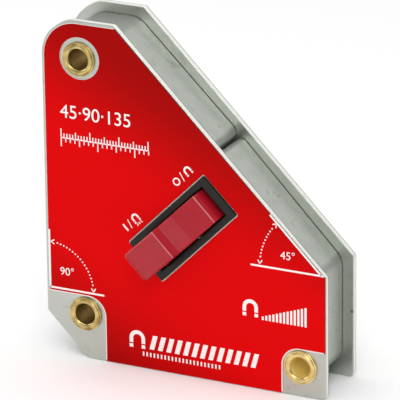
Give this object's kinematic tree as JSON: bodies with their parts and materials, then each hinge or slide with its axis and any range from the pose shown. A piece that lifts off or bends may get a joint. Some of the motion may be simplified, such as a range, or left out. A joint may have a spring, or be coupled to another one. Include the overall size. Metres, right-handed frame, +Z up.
{
  "type": "welding magnet holder",
  "caption": "Switchable magnetic welding square: spaced steel pole plates with 90 and 45 degree edges, a folded rim band, brass eyelets, a red label film and a rocker switch.",
  "frame": {"origin": "bottom centre of the whole assembly's box, on the plane of the pole plates' base edges", "axes": "+X along the base edge away from the upright edge, +Z up along the upright edge, +Y from the labelled side to the rear"},
  "size_m": [0.096, 0.036, 0.111],
  "materials": {
    "zinc_steel": "bright zinc plated sheet, satin",
    "band_steel": "zinc plated strip, satin",
    "red_film": "printed polyester film, semi-gloss",
    "white_print": "white screen print",
    "brass": "polished",
    "black_abs": "moulded, fine satin",
    "maroon_abs": "moulded, gloss",
    "bright_steel": "ground",
    "acetal": "moulded, satin",
    "ferrite": "sintered, ground",
    "nickel": "nickel plated"
  },
  "bodies": {
    "root": {"front_plate": "zinc_steel", "rear_plate": "zinc_steel", "front_label": "red_film", "upper_band": "band_steel", "lower_band": "band_steel", "eyelet_top": "brass", "eyelet_corner": "brass", "eyelet_right": "brass", "spacer_top": "bright_steel", "spacer_corner": "bright_steel", "switch_bezel": "black_abs", "hinge_pin": "bright_steel", "guide_rail_upper": "bright_steel", "guide_rail_lower": "bright_steel", "side_magnet": "ferrite", "base_magnet": "ferrite", "mitre_magnet_upper": "ferrite", "mitre_magnet_lower": "ferrite"},
    "rocker": {"rocker": "maroon_abs"},
    "carriage": {"magnet_carriage": "acetal", "carriage_magnet_a": "nickel", "carriage_magnet_b": "nickel", "drive_pin": "bright_steel"}
  },
  "joints": [
    {"name": "rocker_pivot", "type": "hinge", "parent": "root", "child": "rocker", "pos_m": [-0.00005, -0.00137, 0.0489], "axis": [0.7071, 0, -0.7071], "range_deg": [0, 26]},
    {"name": "magnet_slide", "type": "slide", "parent": "root", "child": "carriage", "axis": [0.7071, 0, 0.7071], "range_m": [0, 0.0041]}
  ],
  "couplings": [
    {"joint": "rocker_pivot", "follows": "magnet_slide", "rad_per_m": 110.42}
  ]
}
